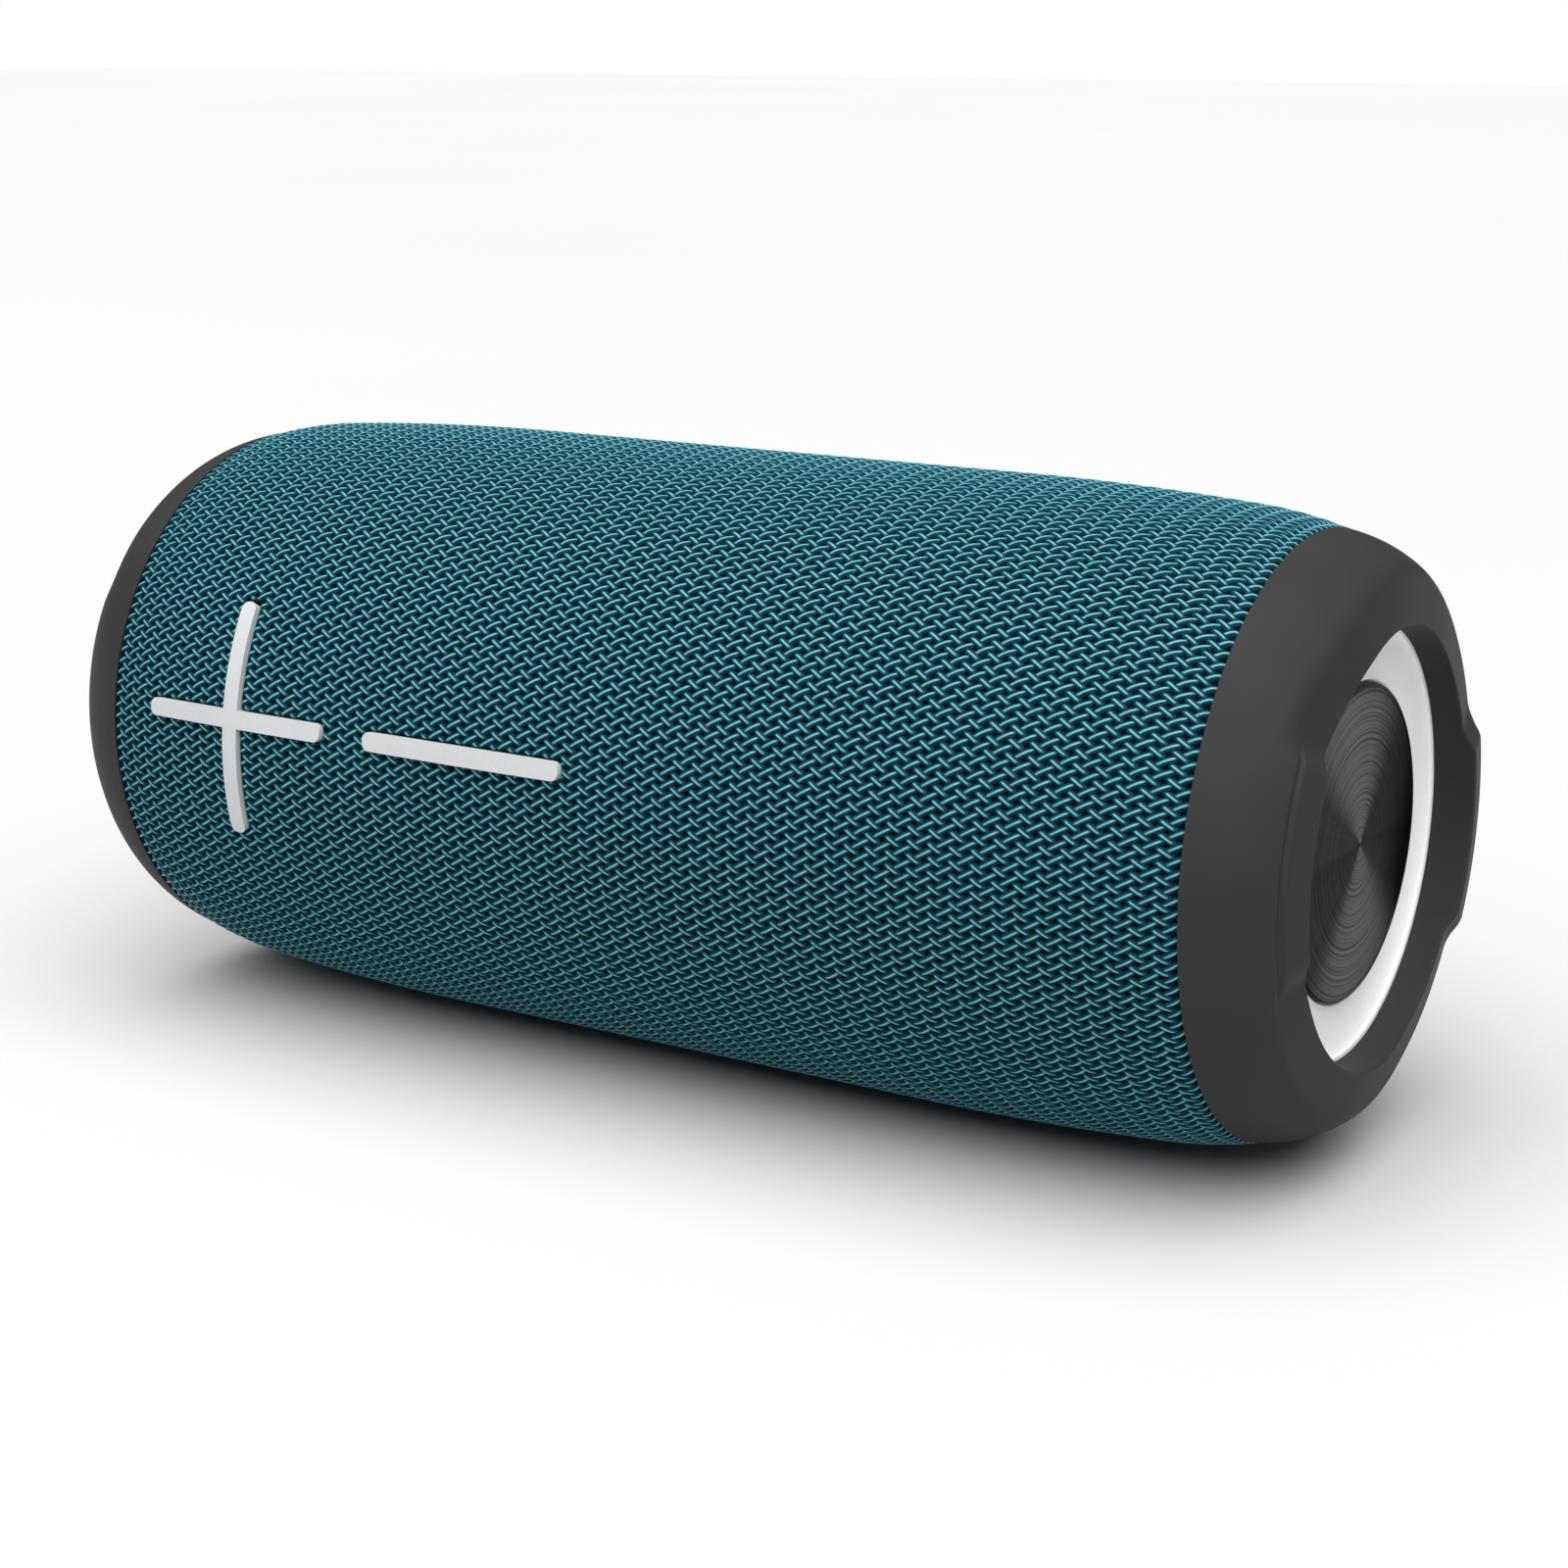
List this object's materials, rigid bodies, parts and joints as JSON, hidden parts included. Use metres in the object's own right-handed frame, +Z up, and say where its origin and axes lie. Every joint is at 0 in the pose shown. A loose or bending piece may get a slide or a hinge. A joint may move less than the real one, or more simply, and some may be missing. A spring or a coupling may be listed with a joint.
{
  "type": "portable bluetooth speaker",
  "caption": "Barrel-shaped portable speaker wrapped in woven fabric, with sprung passive radiators recessed in both rubber end caps and raised volume keys.",
  "frame": {"origin": "on the supporting surface, under the middle of the foot rail", "axes": "+X along the barrel towards the right-hand end seen from the front, +Z up, -Y towards the front with the volume keys"},
  "size_m": [0.1848, 0.0828, 0.0825],
  "materials": {
    "woven_fabric": "woven",
    "cap_rubber": "satin",
    "shell_plastic": "matte",
    "white_rubber": "satin",
    "spun_metal": "spun",
    "steel": "satin",
    "ferrite": "matte",
    "copper": "satin",
    "cone_paper": "matte",
    "black_rubber": "matte",
    "spider_cloth": "matte",
    "foam": "matte",
    "cell_wrap": "gloss",
    "circuit_board": "satin",
    "chip_plastic": "satin",
    "white_key": "satin",
    "panel_plastic": "matte",
    "rear_key_rubber": "satin",
    "light_pipe": "gloss"
  },
  "bodies": {
    "housing": {"aux_jack": "chip_plastic", "baffle_plate": "shell_plastic", "baffle_screws": "steel", "battery_cell_front": "cell_wrap", "battery_cell_rear": "cell_wrap", "battery_holder": "shell_plastic", "board_components": "chip_plastic", "board_screws": "steel", "driver_basket_left": "steel", "driver_basket_right": "steel", "driver_gasket_left": "foam", "driver_gasket_right": "foam", "driver_magnet_left": "ferrite", "driver_magnet_right": "ferrite", "driver_screws": "steel", "driver_spider_left": "spider_cloth", "driver_spider_right": "spider_cloth", "driver_surround_left": "black_rubber", "driver_surround_right": "black_rubber", "driver_top_plate_left": "steel", "driver_top_plate_right": "steel", "driver_yoke_left": "steel", "driver_yoke_right": "steel", "end_cap_left": "cap_rubber", "end_cap_right": "cap_rubber", "fabric_sleeve": "woven_fabric", "foot_rail": "black_rubber", "frame_screws": "steel", "frame_seal_left": "foam", "frame_seal_right": "foam", "front_shell": "shell_plastic", "key_board": "circuit_board", "key_board_screws": "steel", "key_switches": "steel", "main_board": "circuit_board", "radiator_frame_left": "shell_plastic", "radiator_frame_right": "shell_plastic", "radiator_surround_left": "white_rubber", "radiator_surround_right": "white_rubber", "rear_panel": "panel_plastic", "rear_shell": "shell_plastic", "rear_switches": "steel", "shell_screws": "steel", "status_light": "light_pipe", "usb_socket": "steel"},
    "plus_button": {"plus_key": "white_key"},
    "minus_button": {"minus_key": "white_key"},
    "power_button": {"power_key": "rear_key_rubber"},
    "play_button": {"play_key": "rear_key_rubber"},
    "mode_button": {"mode_key": "rear_key_rubber"},
    "cover": {"port_cover": "black_rubber"},
    "left_radiator": {"radiator_disc_left": "spun_metal", "radiator_weight_left": "steel"},
    "left_cone": {"driver_cone_left": "cone_paper", "voice_coil_left": "copper"},
    "right_radiator": {"radiator_disc_right": "spun_metal", "radiator_weight_right": "steel"},
    "right_cone": {"driver_cone_right": "cone_paper", "voice_coil_right": "copper"}
  },
  "joints": [
    {"name": "plus_press", "type": "slide", "parent": "housing", "child": "plus_button", "axis": [0, 0.9903, -0.1392], "range_m": [0, 0.0008], "stiffness_N_per_m": 400},
    {"name": "minus_press", "type": "slide", "parent": "housing", "child": "minus_button", "axis": [0, 0.9903, -0.1392], "range_m": [0, 0.0008], "stiffness_N_per_m": 400},
    {"name": "power_press", "type": "slide", "parent": "housing", "child": "power_button", "axis": [0, -1, 0], "range_m": [0, 0.0006], "stiffness_N_per_m": 400},
    {"name": "play_press", "type": "slide", "parent": "housing", "child": "play_button", "axis": [0, -1, 0], "range_m": [0, 0.0006], "stiffness_N_per_m": 400},
    {"name": "mode_press", "type": "slide", "parent": "housing", "child": "mode_button", "axis": [0, -1, 0], "range_m": [0, 0.0006], "stiffness_N_per_m": 400},
    {"name": "left_radiator_travel", "type": "slide", "parent": "housing", "child": "left_radiator", "axis": [-1, 0, 0], "range_m": [-0.0025, 0.0025], "stiffness_N_per_m": 1200, "deforming": ["radiator_surround_left"]},
    {"name": "left_cone_travel", "type": "slide", "parent": "housing", "child": "left_cone", "axis": [0, 0, 1], "range_m": [-0.0015, 0.0015], "stiffness_N_per_m": 1000, "deforming": ["driver_surround_left", "driver_spider_left"]},
    {"name": "right_radiator_travel", "type": "slide", "parent": "housing", "child": "right_radiator", "axis": [1, 0, 0], "range_m": [-0.0025, 0.0025], "stiffness_N_per_m": 1200, "deforming": ["radiator_surround_right"]},
    {"name": "right_cone_travel", "type": "slide", "parent": "housing", "child": "right_cone", "axis": [0, 0, 1], "range_m": [-0.0015, 0.0015], "stiffness_N_per_m": 1000, "deforming": ["driver_surround_right", "driver_spider_right"]},
    {"name": "cover_hinge", "type": "hinge", "parent": "housing", "child": "cover", "pos_m": [0.023, 0.0409, 0.03555], "axis": [-1, 0, 0], "range_deg": [0, 100], "stiffness_Nm_per_rad": 0.0005}
  ]
}
